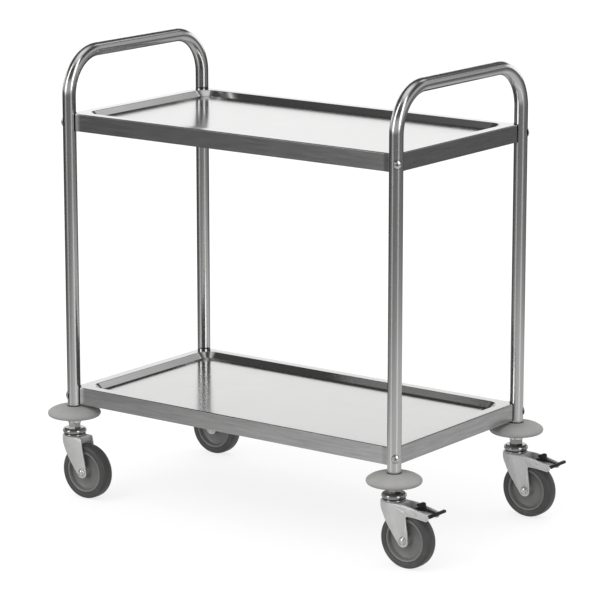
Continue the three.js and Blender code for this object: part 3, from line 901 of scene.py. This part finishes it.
def fork_mesh(brake):
    """A pressed steel fork: a rounded shell cut to its side view, open behind the crown."""
    body = prism("fork", shell_outline(0), 40, CROWN_Z)
    top = body.modifiers.new("top", "BEVEL")
    top.width = SHELL_TOP_R * MM
    top.segments = 5
    top.limit_method = "WEIGHT"
    mark_top_edges(body, CROWN_Z)
    bake(body)
    inner = prism("inner", shell_outline(LEG_OUT - LEG_IN), 30, CROWN_Z - CROWN_T)
    carve(body, inner)
    side_view = plate("side", fork_outline(brake), -40, 40)
    carve(body, side_view, "INTERSECT")
    opening = [(29, -LEG_IN), (130, -LEG_IN), (130, LEG_IN), (29, LEG_IN)]
    carve(body, prism("opening", opening, 100, 160))
    half = LEG_IN + 1
    lip_top = CROWN_Z - 0.4
    lip = [(LIP_X[0], LIP_LOW_Z), (LIP_X[1], LIP_LOW_Z), (LIP_X[1], lip_top), (25, lip_top)]
    carve(body, plate("lip", rounded(lip, 0.8, 3), -half, half), "UNION")
    bores = [(TRAIL, WHEEL_R, AXLE_R + GAP)]
    if brake:
        bores.append((PIN_X, PIN_Z, PIN_R + GAP))
    for x, z, r in bores:
        carve(body, place(rod(r, -40, 40), shifted(x, 0, z) @ along_y()))
    carve(body, rod(KINGPIN_HOLE_R, 100, 160))
    for side in (-1, 1):
        dent = lathe("dent", arc(0, 0, DENT_R, -90, 90, 10), 24)
        carve(body, place(dent, shifted(DENT_X, side * (LEG_OUT + 1.9), DENT_Z)))
    soften(body, 0.5, 2, 35)
    bake(body)
    for polygon in body.data.polygons:
        polygon.use_smooth = True
    body.data.set_sharp_from_angle(angle=math.radians(30))
    return body


def mark_top_edges(body, height):
    """Weights the edges at this height for a bevel, and no others."""
    mesh = body.data
    weights = mesh.attributes.new("bevel_weight_edge", "FLOAT", "EDGE")
    for edge in mesh.edges:
        ends = [mesh.vertices[v].co.z for v in edge.vertices]
        weights.data[edge.index].value = float(min(ends) > (height - 0.1) * MM)


def copy_of(body):
    """A second object with its own mesh, without the body's modifiers."""
    twin = bpy.data.objects.new(body.name, body.data.copy())
    bpy.context.scene.collection.objects.link(twin)
    return twin


def lower_race_mesh():
    """The flat ring between the caster's head and its fork."""
    outer = RACE_R - 1.3
    low, high = CROWN_Z + GAP, RACE_LOW_Z - GAP
    profile = [(KINGPIN_HOLE_R, low), (outer - 1.4, low)]
    profile += arc(outer - 1.4, low + 1.4, 1.4, -80, 0, 4)
    profile += arc(outer - 2.2, high - 2.2, 2.2, 10, 80, 6) + [(KINGPIN_HOLE_R, high)]
    return lathe("race", profile, 96, ring=True, smooth=40)


# ---- wheels -------------------------------------------------------------------


def mirrored_profile(half):
    """A ring's profile from the half at positive height."""
    return [(r, -y) for r, y in half] + [(r, y) for r, y in reversed(half)]


def tyre_mesh():
    """A rubber ring with rounded shoulders and a slightly crowned tread."""
    half = TYRE_W / 2
    bore = RIM_R + GAP
    side = [
        (bore, half - 3), (bore, half - 1.4), (bore + 0.6, half - 0.7), (bore + 3, half - 0.3),
        (bore + 5, half),
    ]
    shoulder = arc(WHEEL_R - 6.5, half - 5.5, 5.5, 85, 20, 8)
    tread = [(WHEEL_R - 0.55, half - 5.5), (WHEEL_R - 0.15, half - 9), (WHEEL_R, half - 13)]
    return lathe("tyre", mirrored_profile(side + shoulder + tread), 128, ring=True)


def core_mesh():
    """A moulded disc wheel: long hub, thin web and deep rim."""
    half = TYRE_W / 2
    web = 3.5
    bore = 6.8
    hub = 17.6
    profile = [
        (bore, hub), (11.6, hub), (12.4, 17.0), (12.8, 15.4), (13.6, 7.0), (14.8, web + 1.0),
        (17, web + 0.1), (26, web), (RIM_R - 9, web + 0.4), (RIM_R - 6.8, web + 1.8),
        (RIM_R - 5.2, half - 3.4), (RIM_R - 4.6, half - 1.6), (RIM_R - 3.8, half - 1.0),
        (RIM_R - 1, half - 1.0), (RIM_R - 0.2, half - 1.7), (RIM_R, half - 3),
    ]
    return lathe("core", mirrored_profile(profile), 128, ring=True, smooth=38)


def axle_bolt_mesh():
    """A hexagon bolt with a flange under its head, lying along +Z."""
    seat = LEG_OUT + GAP
    tip = seat + 8.5
    flange = [
        (0, -seat - 3), (7, -seat - 3), (7.6, -seat - 1.8), (8.8, -seat - 1.1),
        (9, -seat - 0.5), (8.8, -seat),
    ]
    shank = [(AXLE_R, -seat), (AXLE_R, tip - 0.8), (AXLE_R - 0.8, tip), (0, tip)]
    body = lathe("axle", flange + shank, 64)
    head = hexagon_body(HEX_R, -seat - 5, -seat - 1)
    return join("axle_bolt", [body, head])


def hexagon_body(r, z0, z1, chamfer=0.9):
    """A hexagon with its ends chamfered as bolt heads and nuts are."""
    body = prism("hex", arc(0, 0, r, 0, 300, 5), z0, z1)
    narrow, wide = r * 0.9, r + 0.2
    low, high = z0 - 0.01, z1 + 0.01
    cone = [
        (0, low), (narrow, low), (wide, z0 + chamfer), (wide, z1 - chamfer), (narrow, high),
        (0, high),
    ]
    return carve(body, lathe("cone", cone, 48), "INTERSECT")


def axle_nut_mesh():
    seat = LEG_OUT + GAP
    body = hexagon_body(HEX_R, seat, seat + 6.5)
    return carve(body, rod(AXLE_R + GAP, seat - 1, seat + 8))


# ---- brake --------------------------------------------------------------------

LEVER_EYE_R = 7
LEVER_HALF_W = 12
KNOB_TOP_Z = 148


def lever_mesh():
    """A flat steel arm with an eye round the brake pin."""
    outline = arc(PIN_X, PIN_Z, LEVER_EYE_R, 40, 375, 40) + [(106, 127), (106, 129.5)]
    body = plate("lever", outline, -LEVER_HALF_W, LEVER_HALF_W)
    carve(body, place(rod(PIN_R + GAP, -20, 20), shifted(PIN_X, 0, PIN_Z) @ along_y()))
    return soften(body, 0.4, 2)


def pedal_mesh():
    """Black moulding: release knob with a nose, tail, spine and tread bar."""
    low = PIN_Z + LEVER_EYE_R + GAP
    front = [(66, low), (78, low), (77.6, KNOB_TOP_Z), (66.4, KNOB_TOP_Z)]
    nose = [(60.5, 139.5), (68, 138), (68, 145.5), (61, 145)]
    knob = moulded("knob", rounded(front, [1, 1, 4, 4], 6), 7, 1.8)
    others = [
        moulded("nose", rounded(nose, [2, 0, 0, 2], 4), 5, 1.5),
        moulded("tail", [(55, low), (68, low), (68, 136.6), (56, 135.4)], 4, 1.0),
        moulded("spine", [(75, low), (108, 130.4), (108, 132.6), (76, 137.6)], 4, 1.0),
        moulded("tread", [
            (106, 129.8), (108.3, 129.8), (108.3, 126.5), (111.7, 126.5), (113, 128),
            (113, 131.4), (111.6, 132.8), (106, 132.8),
        ], 30, 0.9),
    ]
    for other in others:
        carve(knob, other, "UNION")
    finish_mesh(knob.data, 38)
    return knob


def moulded(name, outline, half, soft):
    """A block of the pedal, symmetric in Y, with its edges rounded."""
    body = plate(name, outline, -half, half)
    soften(body, soft, 3)
    bake(body)
    return body


def pin_mesh():
    """The brake's pin, flush with the fork's sides and chamfered."""
    end = LEG_OUT
    profile = [
        (0, -end), (2.4, -end), (PIN_R, -end + 0.6), (PIN_R, end - 0.6), (2.4, end), (0, end),
    ]
    return lathe("pin", profile, 32)


forks = {brake: fork_mesh(brake) for brake in (True, False)}
as_built = Matrix.Identity(4)
on_axle = shifted(TRAIL, 0, WHEEL_R) @ along_y()
on_pin = shifted(PIN_X, 0, PIN_Z) @ along_y()
# Each kind of piece with its mesh, its spot at a corner, its material and the body it rides on.
shapes = {
    "lower_race": (lower_race_mesh(), as_built, "chrome", "caster"),
    "tyre": (tyre_mesh(), on_axle, "tyre", "wheel"),
    "wheel_core": (core_mesh(), on_axle, "core", "wheel"),
    "axle_bolt": (axle_bolt_mesh(), on_axle, "bolt", "caster"),
    "axle_nut": (axle_nut_mesh(), on_axle, "bolt", "caster"),
}
brake_shapes = {
    "brake_lever": (lever_mesh(), as_built, "zinc", "brake"),
    "brake_pedal": (pedal_mesh(), as_built, "black", "brake"),
    "brake_pin": (pin_mesh(), on_pin, "bolt", "caster"),
}

for corner in CORNERS:
    bumper(corner)
    caster_head(corner)
    refinish(f"stem_expander_{corner}", "zinc", 0.3)
    refinish(f"axle_sleeve_{corner}", "zinc", 0.3)
    fork = place(copy_of(forks[corner in BRAKED]), at_corner(corner))
    stands_for(fork, f"fork_{corner}", "zinc", f"caster_{corner}")
    wanted = shapes | brake_shapes if corner in BRAKED else shapes
    for kind, (shape, spot, material, carrier) in wanted.items():
        twin = copy_of(shape)
        for modifier in shape.modifiers:
            soften(twin, modifier.width / MM, modifier.segments)
        place(twin, at_corner(corner) @ spot)
        stands_for(twin, f"{kind}_{corner}", material, f"{carrier}_{corner}")

for shape in forks.values():
    bpy.data.objects.remove(shape)
for shape, *_ in (shapes | brake_shapes).values():
    bpy.data.objects.remove(shape)

# ---- stage --------------------------------------------------------------------

FLOOR_REACH = 60.0
FLOOR_WHITE = 0.25
FLOOR_GLOW = 0.78
LIGHT_ZONE = (0.8, 0.0, 1.8, 1.85)  # centre and half axes of the floor's bright part
FLOOR_FALLOFF = [
    (0.0, 0.51), (0.20, 0.48), (0.25, 0.38), (0.30, 0.26), (0.36, 0.20), (0.5, 0.15), (1.0, 0.11),
]  # share of four half axes from the centre, and radiance
SHADED_SIDE = 232.0  # azimuth of the side towards which the floor falls off into shade
SHADE = [(0.35, 1.0), (0.85, 0.38)]  # by the share of two metres towards it
FLOOR_MIRROR = 0.14
FLOOR_ROUGHNESS = 0.05

KEY_LIGHT = (0.6, 35)  # strength, and width in degrees
KEY_TILT = (48, -12)


def plane(name, reach):
    """A level square at the floor's height, in metres."""
    corners = [(-reach, -reach, 0), (reach, -reach, 0), (reach, reach, 0), (-reach, reach, 0)]
    mesh = bpy.data.meshes.new(name)
    mesh.from_pydata(corners, [], [[0, 1, 2, 3]])
    thing = bpy.data.objects.new(name, mesh)
    bpy.context.scene.collection.objects.link(thing)
    return thing


def pale_floor():
    """What the camera sees below: white, with a faint shadow."""
    floor = plane("floor", FLOOR_REACH)
    floor.visible_glossy = False
    floor.visible_diffuse = False
    material = bpy.data.materials.new("floor")
    g = Graph(material)
    lit = g.add("BsdfDiffuse", {"Color": grey(FLOOR_WHITE)})
    glow = g.add("Emission", {"Color": grey(1.0), "Strength": FLOOR_GLOW})
    g.surface(g.add("AddShader", {0: lit, 1: glow}))
    floor.data.materials.append(material)


def mirrored_floor():
    """What the metal sees below: a glossy floor, lit round the trolley and dark further off."""
    card = plane("floor_reflection", FLOOR_REACH)
    card.visible_camera = False
    card.visible_diffuse = False
    card.visible_shadow = False
    card.visible_transmission = False
    material = bpy.data.materials.new("floor_reflection")
    material.cycles.emission_sampling = "NONE"
    g = Graph(material)
    cx, cy, ax, ay = LIGHT_ZONE
    split = g.add("SeparateXYZ", {0: object_point(g)}).node
    u = g.math("DIVIDE", g.math("SUBTRACT", split.outputs["X"], cx), ax)
    v = g.math("DIVIDE", g.math("SUBTRACT", split.outputs["Y"], cy), ay)
    far = g.math("SQRT", g.math("ADD", g.math("MULTIPLY", u, u), g.math("MULTIPLY", v, v)))
    light = g.ramp(g.math("DIVIDE", far, 4.0), FLOOR_FALLOFF)
    side = math.radians(SHADED_SIDE)
    across = g.math("MULTIPLY", split.outputs["X"], math.sin(side))
    reach = g.math("ADD", across, g.math("MULTIPLY", split.outputs["Y"], -math.cos(side)))
    shade = g.ramp(g.math("DIVIDE", reach, 2.0, clamp=True), SHADE)
    glow = g.add("Emission", {"Color": light, "Strength": shade})
    gloss = g.add("BsdfGlossy", {"Color": grey(FLOOR_MIRROR), "Roughness": FLOOR_ROUGHNESS})
    g.surface(g.add("AddShader", {0: glow, 1: gloss}))
    card.data.materials.append(material)


# Bright parts of the studio as the metal sees it: azimuth from -Y towards +X, half width,
# lowest and highest elevation, softness (degrees) and radiance.
PANELS = [
    (-23.5, 10, 1, 60, 8, 2.3),
    (75, 10, 1, 60, 8, 2.3),
    (168.5, 10, 38, 52, 4, 0.8),
    (152, 7, 23, 34, 4, 0.4),
]
# White walls low down all round, which the floor doesn't mirror.
WALLS = [
    (216, 62, -20, 18.5, 5, 1.1),
    (36, 113, -20, 26, 5, 0.36),
]
STUDIO_DARK = 0.06
OVERHEAD = (55, 75, 0.8)  # elevations between which the ceiling light comes in, and its radiance
SOFT_WHITE = (0.35, 0.9, 1.2)  # radiance of the soft light from below, level and above


def bright_parts(g, azimuth, elevation, rows):
    """The summed radiance of rows of panels at a direction."""
    total = 0.0
    for centre, half, low, high, soft, radiance in rows:
        off = g.math("WRAP", g.math("SUBTRACT", azimuth, centre), 180.0, -180.0)
        across = band(g, off, -half, half, soft)
        upright = band(g, elevation, low, high, soft)
        lit = g.math("MULTIPLY", g.math("MULTIPLY", across, upright), radiance)
        total = g.math("ADD", lit, total)
    return total


def studio():
    """Soft white light all round, in which metal mirrors a few bright panels."""
    world = bpy.data.worlds.new("studio")
    bpy.context.scene.world = world
    world.use_nodes = True
    g = Graph(world)
    direction = g.add("TexCoord").node.outputs["Generated"]
    split = g.add("SeparateXYZ", {0: direction}).node
    x, y, z = (split.outputs[i] for i in range(3))
    degrees = 180 / math.pi
    elevation = g.math("MULTIPLY", g.math("ARCSINE", z), degrees)
    azimuth = g.math("MULTIPLY", g.math("ARCTAN2", x, g.math("MULTIPLY", y, -1.0)), degrees)
    path = g.add("LightPath").node
    # Cycles counts one bounce extra here, so 2 is what a surface mirrors directly.
    first = g.math("LESS_THAN", path.outputs["Ray Depth"], 2.5)
    walls = g.math("MULTIPLY", bright_parts(g, azimuth, elevation, WALLS), first)
    start, full, radiance = OVERHEAD
    overhead = g.math("DIVIDE", g.math("SUBTRACT", elevation, start), full - start, clamp=True)
    total = g.math("ADD", bright_parts(g, azimuth, elevation, PANELS), walls)
    total = g.math("ADD", total, g.math("MULTIPLY", overhead, radiance))
    total = g.math("ADD", total, STUDIO_DARK)
    mirrored = g.add("Background", {"Color": grey(1.0), "Strength": total})
    below, level, above = SOFT_WHITE
    height = g.math("MULTIPLY_ADD", z, 0.5, 0.5)
    gradient = g.ramp(height, [(0.0, below / above), (0.5, level / above), (1.0, 1.0)])
    soft = g.add("Background", {"Color": gradient, "Strength": above})
    shader = g.add("MixShader", {0: path.outputs["Is Glossy Ray"], 1: soft, 2: mirrored})
    out = g.tree.nodes.new("ShaderNodeOutputWorld")
    g.tree.links.new(shader, out.inputs["Surface"])


def key_light():
    """A broad, weak light from the front left, so that matte pieces show their form."""
    strength, width = KEY_LIGHT
    tilt, turn = KEY_TILT
    light = bpy.data.lights.new("key", "SUN")
    light.energy = strength
    light.angle = math.radians(width)
    lamp = bpy.data.objects.new("key", light)
    lamp.visible_glossy = False
    lamp.rotation_euler = (math.radians(tilt), 0, math.radians(turn))
    bpy.context.scene.collection.objects.link(lamp)


def camera():
    """A long lens from the front right, a little above."""
    a, e = math.radians(CAMERA_AZIMUTH), math.radians(CAMERA_ELEVATION)
    back = Vector((math.sin(a) * math.cos(e), -math.cos(a) * math.cos(e), math.sin(e)))
    aside = Vector((math.cos(a), math.sin(a), 0))
    target = Vector((SHIFT_X * MM, 0, CAMERA_TARGET_Z))
    data = bpy.data.cameras.new("camera")
    data.lens = CAMERA_LENS
    data.sensor_width = CAMERA_SENSOR
    data.clip_end = 100
    view = bpy.data.objects.new("camera", data)
    view.location = back * CAMERA_DISTANCE + aside * CAMERA_ASIDE + target
    view.rotation_mode = "QUATERNION"
    view.rotation_quaternion = (-back).to_track_quat("-Z", "Y")
    bpy.context.scene.collection.objects.link(view)
    bpy.context.scene.camera = view


pale_floor()
mirrored_floor()
studio()
key_light()
camera()
bpy.context.scene.view_settings.view_transform = "Standard"
